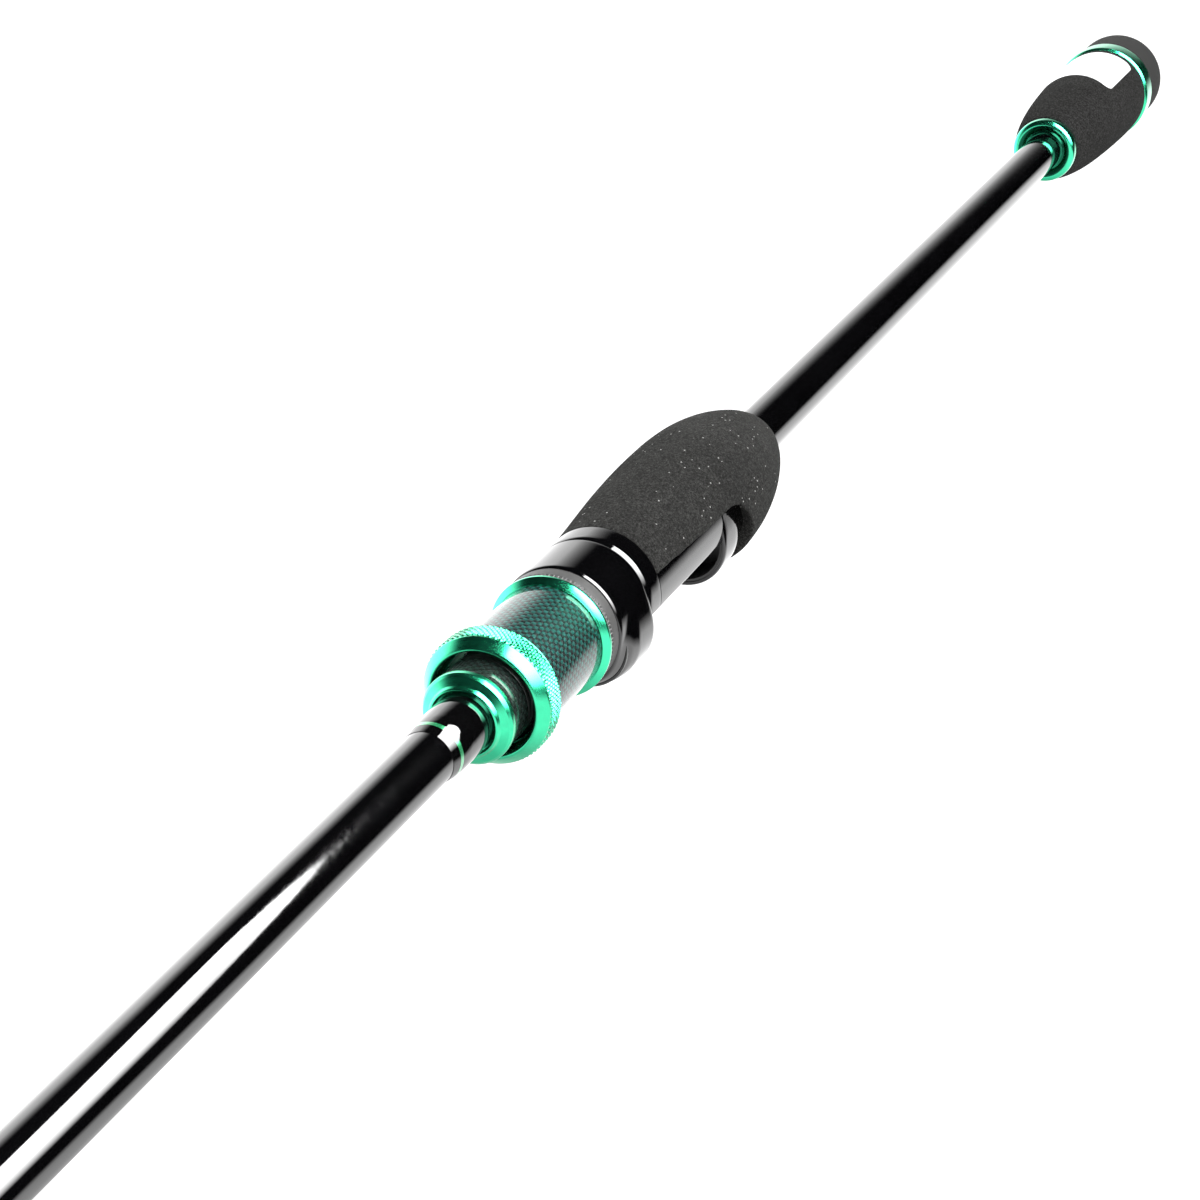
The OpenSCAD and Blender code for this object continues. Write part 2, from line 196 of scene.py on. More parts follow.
# ------------------------------------------------------------------ materials
def new_mat(name):
    m = bpy.data.materials.new(name)
    m.use_nodes = True
    nt = m.node_tree
    bsdf = nt.nodes["Principled BSDF"]
    return m, nt, bsdf


def N(nt, kind, **kw):
    n = nt.nodes.new(kind)
    for k, v in kw.items():
        if k in ("inputs", "ins"):
            for key, val in v.items():
                n.inputs[key].default_value = val
        else:
            setattr(n, k, v)
    return n


def L(nt, a, b):
    nt.links.new(a, b)


def math_node(nt, op, a, b=None, clamp=False):
    n = nt.nodes.new("ShaderNodeMath")
    n.operation = op
    n.use_clamp = clamp
    for i, v in enumerate((a, b)):
        if v is None:
            continue
        if isinstance(v, (int, float)):
            n.inputs[i].default_value = v
        else:
            nt.links.new(v, n.inputs[i])
    return n.outputs[0]


def ramp(nt, fac, stops, interp="LINEAR"):
    n = nt.nodes.new("ShaderNodeValToRGB")
    n.color_ramp.interpolation = interp
    els = n.color_ramp.elements
    while len(els) < len(stops):
        els.new(0.5)
    for e, (p, c) in zip(els, stops):
        e.position = p
        e.color = (*c, 1) if len(c) == 3 else c
    nt.links.new(fac, n.inputs[0])
    return n.outputs[0]


def obj_xyz(nt):
    tc = nt.nodes.new("ShaderNodeTexCoord")
    sep = nt.nodes.new("ShaderNodeSeparateXYZ")
    nt.links.new(tc.outputs["Object"], sep.inputs[0])
    return tc.outputs["Object"], sep.outputs


def noise(nt, vec, scale, detail=3, rough=0.55):
    n = nt.nodes.new("ShaderNodeTexNoise")
    n.inputs["Scale"].default_value = scale
    n.inputs["Detail"].default_value = detail
    n.inputs["Roughness"].default_value = rough
    nt.links.new(vec, n.inputs["Vector"])
    return n.outputs["Fac"]


def bump(nt, height, dist, strength, bsdf, prev=None, socket="Normal"):
    b = nt.nodes.new("ShaderNodeBump")
    b.inputs["Distance"].default_value = dist
    b.inputs["Strength"].default_value = strength
    nt.links.new(height, b.inputs["Height"])
    if prev:
        nt.links.new(prev, b.inputs["Normal"])
    if bsdf:
        nt.links.new(b.outputs[0], bsdf.inputs[socket])
    return b.outputs[0]


def gloss_black(name, base=(0.0012, 0.0012, 0.0014), rough=0.05, wave=0.10, ior=1.55):
    m, nt, b = new_mat(name)
    vec, _ = obj_xyz(nt)
    f = noise(nt, vec, 60, 2)
    c = ramp(nt, f, [(0.3, base), (0.7, tuple(v * 1.6 for v in base))])
    L(nt, c, b.inputs["Base Color"])
    b.inputs["IOR"].default_value = ior
    dust = noise(nt, vec, 900, 4, 0.6)
    r = ramp(nt, dust, [(0.35, (rough,) * 3), (0.75, (rough * 1.8,) * 3)])
    L(nt, r, b.inputs["Roughness"])
    bump(nt, noise(nt, vec, 180, 2), 0.0002, wave, b)
    return m


def anodised(name, base=(0.03, 0.48, 0.25), rough=0.2):
    m, nt, b = new_mat(name)
    vec, xyz = obj_xyz(nt)
    b.inputs["Metallic"].default_value = 1.0
    # fine lathe lines run round the axis, so they vary along x
    lin = nt.nodes.new("ShaderNodeTexNoise")
    lin.noise_dimensions = "1D"
    lin.inputs["Scale"].default_value = 9000
    lin.inputs["Detail"].default_value = 3
    L(nt, xyz["X"], lin.inputs["W"])
    c = ramp(nt, noise(nt, vec, 400, 3), [(0.3, tuple(v * 0.92 for v in base)), (0.7, tuple(min(v * 1.06, 1) for v in base))])
    L(nt, c, b.inputs["Base Color"])
    r = ramp(nt, lin.outputs["Fac"], [(0.3, (rough * 0.8,) * 3), (0.7, (rough * 1.3,) * 3)])
    L(nt, r, b.inputs["Roughness"])
    b.inputs["Coat Weight"].default_value = 0.35
    b.inputs["Coat Roughness"].default_value = 0.12
    bump(nt, lin.outputs["Fac"], 0.00002, 0.12, b)
    return m


def eva_foam(name, base=(0.0165, 0.0165, 0.0158), dust=0.62, bump_size=0.00012):
    m, nt, b = new_mat(name)
    vec, _ = obj_xyz(nt)
    fine = noise(nt, vec, 3400, 3, 0.7)
    mid = noise(nt, vec, 1500, 3, 0.65)
    big = noise(nt, vec, 55, 2)
    mix = math_node(nt, "ADD", math_node(nt, "MULTIPLY", fine, 0.62), math_node(nt, "MULTIPLY", mid, 0.38))
    tone = math_node(nt, "ADD", mix, math_node(nt, "MULTIPLY", big, 0.12))
    c = ramp(nt, tone, [(0.44, tuple(v * 0.3 for v in base)), (0.56, base), (0.68, tuple(v * 2.8 for v in base))])
    if dust < 1:
        vo = nt.nodes.new("ShaderNodeTexVoronoi")
        vo.inputs["Scale"].default_value = 760
        vo.inputs["Randomness"].default_value = 1.0
        L(nt, vec, vo.inputs["Vector"])
        near = math_node(nt, "LESS_THAN", vo.outputs["Distance"], 0.13)
        sepc = nt.nodes.new("ShaderNodeSeparateColor")
        L(nt, vo.outputs["Color"], sepc.inputs[0])
        pick = math_node(nt, "GREATER_THAN", sepc.outputs[0], dust)
        patch = math_node(nt, "GREATER_THAN", noise(nt, vec, 120, 2), 0.47)
        sp = math_node(nt, "MULTIPLY", math_node(nt, "MULTIPLY", near, pick), patch)
        mx = nt.nodes.new("ShaderNodeMix")
        mx.data_type = "RGBA"
        L(nt, sp, mx.inputs["Factor"])
        L(nt, c, mx.inputs["A"])
        mx.inputs["B"].default_value = (0.36, 0.36, 0.35, 1)
        c = mx.outputs["Result"]
    L(nt, c, b.inputs["Base Color"])
    b.inputs["Roughness"].default_value = 0.92
    b.inputs["Specular IOR Level"].default_value = 0.02
    h = math_node(nt, "ADD", math_node(nt, "MULTIPLY", fine, 0.6), math_node(nt, "MULTIPLY", mid, 0.6))
    bump(nt, h, bump_size, 0.6, b)
    return m


def carbon(name, radius_mm, pitch=0.85, warp=(0.006, 0.011, 0.011), weft=(0.010, 0.085, 0.072)):
    """Twill of dark and teal threads under clear coat, laid round the x axis."""
    m, nt, b = new_mat(name)
    vec, xyz = obj_xyz(nt)
    ang = math_node(nt, "ARCTAN2", xyz["Z"], xyz["Y"])
    count = round(TAU * radius_mm / pitch / 2) * 2
    u = math_node(nt, "MULTIPLY", ang, count / TAU)
    v = math_node(nt, "MULTIPLY", xyz["X"], 1000 / pitch)
    fu, fv = math_node(nt, "FLOOR", u), math_node(nt, "FLOOR", v)
    par = math_node(nt, "FLOORED_MODULO", math_node(nt, "ADD", fu, fv), 2.0)
    over = math_node(nt, "LESS_THAN", par, 0.5)
    cu = math_node(nt, "SUBTRACT", math_node(nt, "SUBTRACT", u, fu), 0.5)
    cv = math_node(nt, "SUBTRACT", math_node(nt, "SUBTRACT", v, fv), 0.5)

    def arch(along, across):
        a = math_node(nt, "COSINE", math_node(nt, "MULTIPLY", along, math.pi * 0.96))
        c = math_node(nt, "COSINE", math_node(nt, "MULTIPLY", across, math.pi * 0.96))
        return math_node(nt, "MULTIPLY", math_node(nt, "POWER", a, 0.55), math_node(nt, "POWER", c, 0.4))

    hu, hv = arch(cv, cu), arch(cu, cv)
    mixh = nt.nodes.new("ShaderNodeMix")
    L(nt, over, mixh.inputs["Factor"])
    L(nt, hv, mixh.inputs["A"])
    L(nt, hu, mixh.inputs["B"])
    height = mixh.outputs["Result"]
    fil_u = noise(nt, vec, 7000, 2)
    ca = ramp(nt, fil_u, [(0.3, tuple(q * 0.7 for q in warp)), (0.7, tuple(q * 1.5 for q in warp))])
    cb = ramp(nt, fil_u, [(0.3, tuple(q * 0.75 for q in weft)), (0.7, tuple(min(1, q * 1.35) for q in weft))])
    mc = nt.nodes.new("ShaderNodeMix")
    mc.data_type = "RGBA"
    L(nt, over, mc.inputs["Factor"])
    L(nt, cb, mc.inputs["A"])
    L(nt, ca, mc.inputs["B"])
    # painted shade: the weave colour is multiplied down to 25% where the thread height is low, darkening each tow
    # towards the edges where it dips under its neighbour
    dark = nt.nodes.new("ShaderNodeMix")
    dark.data_type = "RGBA"
    dark.blend_type = "MULTIPLY"
    dark.inputs["Factor"].default_value = 1.0
    L(nt, mc.outputs["Result"], dark.inputs["A"])
    L(nt, ramp(nt, height, [(0.0, (0.25,) * 3), (0.75, (1,) * 3)]), dark.inputs["B"])
    L(nt, dark.outputs["Result"], b.inputs["Base Color"])
    b.inputs["Roughness"].default_value = 0.38
    b.inputs["Specular IOR Level"].default_value = 0.05
    b.inputs["Coat Weight"].default_value = 1.0
    b.inputs["Coat Roughness"].default_value = 0.04
    b.inputs["Coat IOR"].default_value = 1.33
    bump(nt, height, 0.00016, 0.8, b)
    return m


def satin(name, base, rough=0.45, grain=1200, amount=0.15, metallic=0.0, ior=1.5, spec=0.5):
    m, nt, b = new_mat(name)
    vec, _ = obj_xyz(nt)
    f = noise(nt, vec, grain, 3)
    c = ramp(nt, f, [(0.3, tuple(v * 0.85 for v in base)), (0.7, tuple(min(1, v * 1.15) for v in base))])
    L(nt, c, b.inputs["Base Color"])
    b.inputs["Metallic"].default_value = metallic
    b.inputs["Specular IOR Level"].default_value = spec
    b.inputs["IOR"].default_value = ior
    r = ramp(nt, f, [(0.3, (rough * 0.9,) * 3), (0.7, (min(1, rough * 1.1),) * 3)])
    L(nt, r, b.inputs["Roughness"])
    bump(nt, f, 0.00006, amount, b)
    return m


def thread_mat(name, base, pitch=0.00028, strength=0.35, metallic=0.0, rough=0.3):
    """Thread wound round the x axis under a gloss finish."""
    m, nt, b = new_mat(name)
    vec, xyz = obj_xyz(nt)
    ph = math_node(nt, "MULTIPLY", xyz["X"], TAU / pitch)
    s = math_node(nt, "ABSOLUTE", math_node(nt, "SINE", math_node(nt, "MULTIPLY", ph, 0.5)))
    f = noise(nt, vec, 2500, 2)
    h = math_node(nt, "ADD", s, math_node(nt, "MULTIPLY", f, 0.25))
    # painted shade and highlight: the base colour drops to 35% in the grooves between thread turns and rises a little
    # on the crowns
    c = ramp(nt, h, [(0.1, tuple(v * 0.35 for v in base)), (0.9, tuple(min(1, v * 1.2) for v in base))])
    L(nt, c, b.inputs["Base Color"])
    b.inputs["Metallic"].default_value = metallic
    b.inputs["Roughness"].default_value = rough
    b.inputs["Specular IOR Level"].default_value = 0.0 if metallic == 0 else 0.5
    b.inputs["Coat Weight"].default_value = 1.0
    b.inputs["Coat Roughness"].default_value = 0.03
    bump(nt, h, 0.00004, strength, b)
    bump(nt, noise(nt, vec, 260, 2), 0.0003, 0.12, b, socket="Coat Normal")
    return m


M_BLANK = gloss_black("blank_lacquer", wave=0.05)
M_SEAT = gloss_black("seat_gloss", base=(0.0012, 0.0012, 0.0014), wave=0.04, rough=0.045)
M_GREEN = anodised("green_anodised")
M_GREEN_B = anodised("green_anodised_bright", base=(0.035, 0.52, 0.28), rough=0.17)
M_EVA = eva_foam("eva_foam")
M_EVA_R = eva_foam("eva_foam_rear", base=(0.0125, 0.0125, 0.0121), dust=1.0, bump_size=0.00006)
M_CAP = satin("cap_rubber", (0.020, 0.020, 0.0195), rough=0.8, amount=0.3, spec=0.05)
M_PLATE = satin("name_plate", (0.88, 0.88, 0.89), rough=0.12, amount=0.02)
M_GREY = satin("thrust_nylon", (0.024, 0.024, 0.0235), rough=0.5, amount=0.25, spec=0.3)
M_LINER = satin("liner_nylon", (0.012, 0.012, 0.012), rough=0.4)
M_CARBON = carbon("carbon_sleeve", 10.55)
M_CARBON_IN = carbon("carbon_inner", 8.4, pitch=0.8, warp=(0.006, 0.008, 0.007), weft=(0.014, 0.026, 0.022))
M_WRAP = thread_mat("wrap_black", (0.0022, 0.0022, 0.0024), strength=0.12)
M_WRAP_G = thread_mat("wrap_green", (0.02, 0.32, 0.12), metallic=0.6, rough=0.25, strength=0.5)
M_FRAME = satin("guide_steel", (0.10, 0.10, 0.11), rough=0.28, metallic=1.0, amount=0.05)
M_CERAMIC = gloss_black("guide_ceramic", base=(0.02, 0.02, 0.024), rough=0.06, wave=0.0, ior=1.9)
M_STEEL = satin("spring_steel", (0.45, 0.46, 0.48), rough=0.3, metallic=1.0, amount=0.05)
M_ALU = satin("plain_aluminium", (0.7, 0.71, 0.73), rough=0.35, metallic=1.0, amount=0.08)
M_ARBOR = satin("arbor_foam", (0.3, 0.29, 0.25), rough=0.8, amount=0.4)

# ------------------------------------------------------------------ blanks
SEG = 160


xs = [8.3] + list(np.linspace(20, 1309, 60))
rev("blank_butt_skin", [(8, 5.25 - 1.1)] + [(8, 4.9), (8.35, 5.24)] + [(x, rb(x)) for x in xs[1:]] + [(1309.8, 3.45), (1310, 2.7), (493, 3.85)],
    M_BLANK, segs=SEG, node="blank_butt", slot="blank")
xt = list(np.linspace(1236, 2397.5, 60))
rev("blank_tip_skin", [(1235, rb(1235) + 0.04), (1235, TIP_R0 - 0.25), (1235.3, TIP_R0 - 0.02)] + [(x, rt(x)) for x in xt]
    + [(2398, rt(2398) - 0.1), (2398, 0.36), (1330, rb(BUTT_END) - 1.2), (1316, rb(BUTT_END) + 0.04), (1310, rb(BUTT_END) + 0.04)],
    M_BLANK, segs=96, body="tip_section", node="blank_tip", slot="blank")

# ------------------------------------------------------------------ butt
cap = [(0, 0.0), (0.02, 7.0), (0.25, 7.8)]
for i in range(1, 15):
    a = math.radians(lerp(180, 90, i / 14))
    cap.append((6.0 + 6.0 * math.cos(a), 7.8 + 6.0 * math.sin(a)))
cap += [(18.3, 13.8, 0.3), (18.9, 13.2, 0.25), (18.95, 13.1), (19.99, 13.1), (19.99, 9.01), (27.9, 9.01), (27.9, 5.27), (7.9, 5.27), (7.9, 0.0)]
rev("butt_cap_rubber", cap, M_CAP, segs=144, node="butt_cap", slot="cap_rubber")
rev("butt_ring_green", [(20.02, 9.05), (20.02, 13.5, 0.3), (20.9, 14.38, 0.6), (27.1, 14.38, 0.6), (27.96, 13.8, 0.25), (27.96, 9.05)],
    M_GREEN, segs=160, node="butt_ring", slot="green_anodised")
GRIP = smooth_curve([(28, 13.8), (31, 14), (36, 14.05), (45, 13.9), (54, 13.6), (63, 13.2), (72, 12.7), (81, 11.95), (89, 10.95), (94, 10.05), (97, 9.3)], 8)
PL_T = 0.9


def plate_profile_inner(x):
    return min(interp_r(GRIP, x) - PL_T, 13.3)


# rear grip with a pocket for the plate: the pocket's outline seen from the side is a rounded rectangle
def rounded_block(name, x0, x1, c, g, depth=40, n=10):
    """Prism along Y of the plate's side outline, for cutting."""
    x0, x1 = x0 - g, x1 + g
    z0 = -g
    pts = []
    for i in range(n + 1):
        a = math.radians(180 + 90 * i / n)
        pts.append((x0 + c + c * math.cos(a), z0 + c + c * math.sin(a)))
    for i in range(n + 1):
        a = math.radians(270 + 90 * i / n)
        pts.append((x1 - c + c * math.cos(a), z0 + c + c * math.sin(a)))
    pts += [(x1, 20), (x0, 20)]
    k = len(pts)
    v = [(x * MM, -depth / 2 * MM, z * MM) for x, z in pts] + [(x * MM, depth / 2 * MM, z * MM) for x, z in pts]
    f = [tuple(range(k)), tuple(reversed(range(k, 2 * k)))] + [(i, (i + 1) % k, k + (i + 1) % k, k + i) for i in range(k)]
    return mesh_object(name, v, f, None, body=None)


def boolean(ob, other, op, keep=False):
    m = ob.modifiers.new("b", "BOOLEAN")
    m.operation = op
    m.solver = "MANIFOLD"
    m.object = other
    apply_mods(ob)
    if not keep:
        bpy.data.objects.remove(other, do_unlink=True)


def apply_mods(ob):
    dg = bpy.context.evaluated_depsgraph_get()
    dg.update()
    me = bpy.data.meshes.new_from_object(ob.evaluated_get(dg))
    old = ob.data
    ob.modifiers.clear()
    ob.data = me
    bpy.data.meshes.remove(old)


def remesh_smooth(ob, voxel, iters, factor=0.5):
    m = ob.modifiers.new("r", "REMESH")
    m.mode = "VOXEL"
    m.voxel_size = voxel * MM
    m.use_smooth_shade = True
    s = ob.modifiers.new("s", "SMOOTH")
    s.factor = factor
    s.iterations = iters
    apply_mods(ob)
    ob.data.shade_smooth()


grip = rev("rear_grip_foam", [(28.04, 5.27), (28.04, 13.4)] + [(x, r - 0.03) for x, r in GRIP if 28.4 < x < 96.6] + [(96.9, 9.15), (96.96, 8.7), (96.96, 5.27)],
           M_EVA_R, segs=192, node="butt_grip_eva", slot="eva")
shell = rev("pocket_cut", [(x, r + 1.5) for x, r in GRIP if x < 80] + [(x, plate_profile_inner(x)) for x, r in reversed(GRIP) if x < 80], None, segs=192, body=None)
boolean(shell, rounded_block("pocket_block", 31, 60, 3.0, 0.0), "INTERSECT")
boolean(grip, shell, "DIFFERENCE")
grip.data.shade_smooth()
grip.data.set_sharp_from_angle(angle=math.radians(40))
plate = rev("name_plate_gloss", [(x, r - 0.12) for x, r in GRIP if x < 80] + [(x, plate_profile_inner(x) + 0.01) for x, r in reversed(GRIP) if x < 80], M_PLATE, segs=192,
            node="butt_name_plate", slot="plate")
boolean(plate, rounded_block("plate_block", 31, 60, 3.0, -0.06), "INTERSECT")
plate.data.shade_smooth()
plate.data.set_sharp_from_angle(angle=math.radians(40))
bv = plate.modifiers.new("bevel", "BEVEL")
bv.width = 0.0002
bv.segments = 3
bv.limit_method = "ANGLE"
bv.angle_limit = math.radians(50)

rev("grip_front_ring_green", [(97.02, 5.27), (97.02, 8.5, 0.4), (97.8, 9.08, 1.0), (100.5, 8.98, 1.7), (100.98, 7.4, 1.0), (99.8, 6.2, 0.4), (99.2, 5.9, 0.2), (99.1, 5.27)],
    M_GREEN_B, segs=160, node="butt_front_ring", slot="green_anodised")

# ------------------------------------------------------------------ fore grip
FORE = smooth_curve([(353, 6.5), (354.1, 7.4), (356.7, 8.8), (361.2, 10.55), (368.2, 12.55), (376.2, 14), (384, 14.62), (391, 14.7), (398.4, 14.6),
                     (406, 14.25), (413.3, 13.75), (420.5, 13.1), (427.6, 12.45), (432.4, 12.1)], 6)


def window_block(name, g):
    """The foot-side window of the fore grip: a plan outline through a wedge of angles."""
    pts = []
    R = 13.2 + g
    for i in range(41):
        a = math.radians(lerp(90, 270, i / 40))
        pts.append((399 + R * math.cos(a), R * math.sin(a)))
    pts += [(460, -R), (460, R)]
    k = len(pts)
    v = [(x * MM, y * MM, -30 * MM) for x, y in pts] + [(x * MM, y * MM, 0.2 * MM) for x, y in pts]
    f = [tuple(range(k)), tuple(reversed(range(k, 2 * k)))] + [(i, (i + 1) % k, k + (i + 1) % k, k + i) for i in range(k)]
    plan = mesh_object(name, v, f, None, body=None)
    a = math.radians(66)
    w = [(0, 0.01 + g / 2), (24 * math.sin(a), -24 * math.cos(a) + g), (24 * math.sin(a), -40), (-24 * math.sin(a), -40), (-24 * math.sin(a), -24 * math.cos(a) + g)]
    k = len(w)
    v = [(370 * MM, y * MM, z * MM) for y, z in w] + [(445 * MM, y * MM, z * MM) for y, z in w]
    f = [tuple(range(k)), tuple(reversed(range(k, 2 * k)))] + [(i, (i + 1) % k, k + (i + 1) % k, k + i) for i in range(k)]
    wedge = mesh_object(name + "_w", v, f, None, body=None)
    boolean(plan, wedge, "INTERSECT")
    return plan


fore = rev("fore_grip_foam", [(353.05, 5.3), (353.05, 6.1, 0.4)] + [(x, r - 0.03) for x, r in FORE if 353.3 < x < 432.2] + [(432.33, 11.9), (432.33, 10.25), (372, 10.25), (372, 5.3)],
           M_EVA, segs=224, node="fore_grip_eva", slot="eva")
boolean(fore, window_block("window", 0.1), "DIFFERENCE")
remesh_smooth(fore, 0.42, 2)

# ------------------------------------------------------------------ seat
PH = np.linspace(-math.pi, math.pi, 288, endpoint=False)


def smax(a, b, k):
    h = np.clip(0.5 + 0.5 * (a - b) / k, 0, 1)
    return b * (1 - h) + a * h + k * h * (1 - h)


def off_circle(R, c):
    """Distance from the axis to a circle of radius R whose centre lies c below the axis, by angle from -Z."""
    s = R * R - (c * np.sin(PH)) ** 2
    return np.where(s > 0, c * np.cos(PH) + np.sqrt(np.maximum(s, 0)), 0)


def section(x, r):
    r = np.broadcast_to(r, PH.shape)
    return np.stack([np.full_like(PH, x), r * np.sin(PH), -r * np.cos(PH)], 1)


def flat_cut(r, z):
    """Cuts a section flat at z below the axis."""
    lim = np.where(np.cos(PH) > 0.05, z / np.maximum(np.cos(PH), 0.05), 1e3)
    return np.minimum(r, lim)


WIN = np.abs(PH) < math.radians(67)
BODY_R = np.where(WIN, 12.05, 10.18)


def seat_land():
    rings = []

    def add(x, r):
        rings.append(section(x, r))

    add(372, np.full_like(PH, 6.62))
    add(372, np.full_like(PH, 9.9))
    add(372.3, np.full_like(PH, 10.18))
    add(384.4, np.full_like(PH, 10.18))
    add(385.2, np.where(WIN, 10.4, 10.18))
    add(387.5, np.where(WIN, 11.4, 10.18))
    add(389.5, BODY_R)
    add(390.98, BODY_R)
    add(391, flat_cut(BODY_R, 9.72))
    add(400.1, flat_cut(BODY_R, 9.72))
    add(400.3, flat_cut(BODY_R, 9.8))
    for x in np.linspace(401, 432.3, 20):
        add(x, flat_cut(BODY_R, 9.8))
    add(432.33, flat_cut(BODY_R, 9.8))
    add(432.33, np.full_like(PH, 6.62))
    v, f = loft(rings, True)
    return mesh_object("seat_land", v, f, M_SEAT, sharp=32, node="seat_body", slot="seat")


seat_land()


def seat_lip():
    rings = []

    def add(x, r, z=9.8):
        rings.append(section(x, flat_cut(np.full_like(PH, r), z)))

    add(432.36, 7.0)
    add(432.36, 11.7)
    add(432.44, 11.93)
    add(432.65, 12.08)
    add(433.0, 12.1)
    for x in np.linspace(434, 437.4, 5):
        add(x, 12.1)
    add(437.9, 12.04)
    add(438.3, 11.86)
    add(438.55, 11.6)
    add(438.6, 11.3)
    add(438.6, 7.0)
    v, f = loft(rings, True)
    return mesh_object("seat_lip", v, f, M_SEAT, sharp=32, node="seat_body", slot="seat")


seat_lip()


def fixed_hood():
    """Hood moulded on the seat: an outer skin that swells out of the body and a pocket open towards the tip."""
    lim = math.radians(66)
    ph = np.linspace(-lim, lim, 121)
    rings = []

    def offc(R, c):
        s = R * R - (c * np.sin(ph)) ** 2
        return np.where(s > 0, c * np.cos(ph) + np.sqrt(np.maximum(s, 0)), 0)

    def sm(a, b, k):
        h = np.clip(0.5 + 0.5 * (a - b) / k, 0, 1)
        return b * (1 - h) + a * h + k * h * (1 - h)

    base = np.full_like(ph, 12.07)

    def outer(x):
        R = 9.5 * math.sqrt(max(0.0, 1 - max(0.0, (394.0 - x) / 9.5) ** 2)) if x < 394.0 else 9.5
        return np.minimum(sm(offc(max(R, 0.01), 4.6), base, 1.1 if x < 399 else 0.9), 14.12)

    def inner(x):
        o = offc(8.7, 4.6)
        flat = np.where(np.cos(ph) > 0.05, 9.78 / np.maximum(np.cos(ph), 0.05), 1e3)
        return np.minimum(np.maximum(o, np.minimum(11.9, flat)), 13.3)

    sec = lambda x, r: np.stack([np.full_like(ph, x), r * np.sin(ph), -r * np.cos(ph)], 1)
    for x in (384.7, 385.0, 385.5, 386, 387, 388, 389, 390, 391, 392, 393, 394.5, 396, 397.5, 398.6, 399.3):
        rings.append(sec(x, outer(x)))
    o = outer(399.3)
    i = inner(400)
    rings.append(sec(399.62, o - 0.06))
    rings.append(sec(399.86, o - 0.2))
    rings.append(sec(399.96, np.maximum(o - 0.42, i + 0.02)))
    rings.append(sec(399.9, i + 0.04))
    rings.append(sec(399.5, i))
    for x in (397, 394, 391.6):
        rings.append(sec(x, inner(x)))
    rings.append(sec(391.05, np.minimum(inner(391), 12.8)))
    floor = np.minimum(11.8, np.where(np.cos(ph) > 0.05, 9.65 / np.maximum(np.cos(ph), 0.05), 1e3))
    rings.append(sec(391, floor))
    rings.append(sec(384.7, np.full_like(ph, 10.4)))
    rings = np.asarray(rings)
    n, k, _ = rings.shape
    verts = rings.reshape(-1, 3) * MM
    faces = []
    for a in range(n):
        b2 = (a + 1) % n
        for j in range(k - 1):
            faces.append((a * k + j, a * k + j + 1, b2 * k + j + 1, b2 * k + j))
    faces.append(tuple(a * k for a in range(n)))
    faces.append(tuple(a * k + k - 1 for a in reversed(range(n))))
    return mesh_object("fixed_hood", verts, faces, M_SEAT, sharp=40, node="seat_body", slot="seat")


fixed_hood()


def threaded_barrel():
    """Barrel with a real helical thread and a key slot on top."""
    seg = 192
    th = np.linspace(0, TAU, seg, endpoint=False)
    key = np.abs(((th - math.pi) + math.pi) % TAU - math.pi) < 1.2 / 8.2
    rings = [ring_of(438.4, 6.62, seg), ring_of(438.4, 7.65, seg)]
    for x in np.arange(438.6, 484.4, 0.125):
        ph = ((x - 440.5) / 1.5 - th / TAU) % 1.0
        prof = np.interp(ph, [0, 0.2, 0.5, 0.7, 1.0], [0, 1, 1, 0, 0])
        fade = min(1, max(0, (x - 439.6) / 1.2)) * min(1, max(0, (484.2 - x) / 1.2))
        r = 7.65 + 0.55 * prof * fade
        r = np.where(key, 7.38, r)
        rings.append(ring_of(x, r, seg, th=th))
    rings += [ring_of(484.5, 7.38, seg), ring_of(489.95, 7.38, seg), ring_of(489.95, 6.62, seg)]
    v, f = loft(rings, True)
    return mesh_object("seat_thread", v, f, M_LINER, sharp=45, node="seat_body", slot="seat")


threaded_barrel()
rev("carbon_tube_skin", [(484.52, 7.42), (484.52, 8.3, 0.1), (484.7, 8.4, 0.1), (489.98, 8.4), (489.98, 7.42)], M_CARBON_IN, segs=144, node="carbon_tube_front", slot="carbon")
rev("winding_check_green", [(490.02, 5.0), (490.02, 8.35, 0.15), (490.25, 8.58, 0.2), (491.25, 8.58, 0.25), (491.75, 8.1, 0.15), (492.35, 6.75, 0.25), (493.0, 6.45, 0.15), (493.15, 6.1, 0.12),
                            (492.7, 5.75, 0.1), (492.6, 4.97)], M_GREEN, segs=160, node="winding_check", slot="green_anodised")


# ------------------------------------------------------------------ wraps on the handle
WR = smooth_curve([(493.45, 5.35), (495, 5.56), (498, 5.6), (501, 5.56), (503, 5.46), (504.8, 5.3), (506, 5.13), (507, 4.97)], 6)


def wrap_front(name, a, b, mat, node, slot, lift=0.0):
    xs = np.linspace(a, b, max(4, int((b - a) / 0.3)))
    pts = [(a, br(a) + 0.004)] + [(x, interp_r(WR, x) + lift) for x in xs] + [(b, br(b) + 0.004)]
    return rev(name, pts, mat, segs=144, node=node, slot=slot)


wrap_front("wrap_front_a", 493.45, 503.88, M_WRAP, "wrap_front", "thread_wrap")
wrap_front("wrap_front_b", 504.82, 506.85, M_WRAP, "wrap_front", "thread_wrap")
wrap_front("wrap_band_green", 503.9, 504.8, M_WRAP_G, "wrap_front_band", "green_thread", lift=0.01)

# ------------------------------------------------------------------ sliding hood
HC, HR = 5.1, 9.6


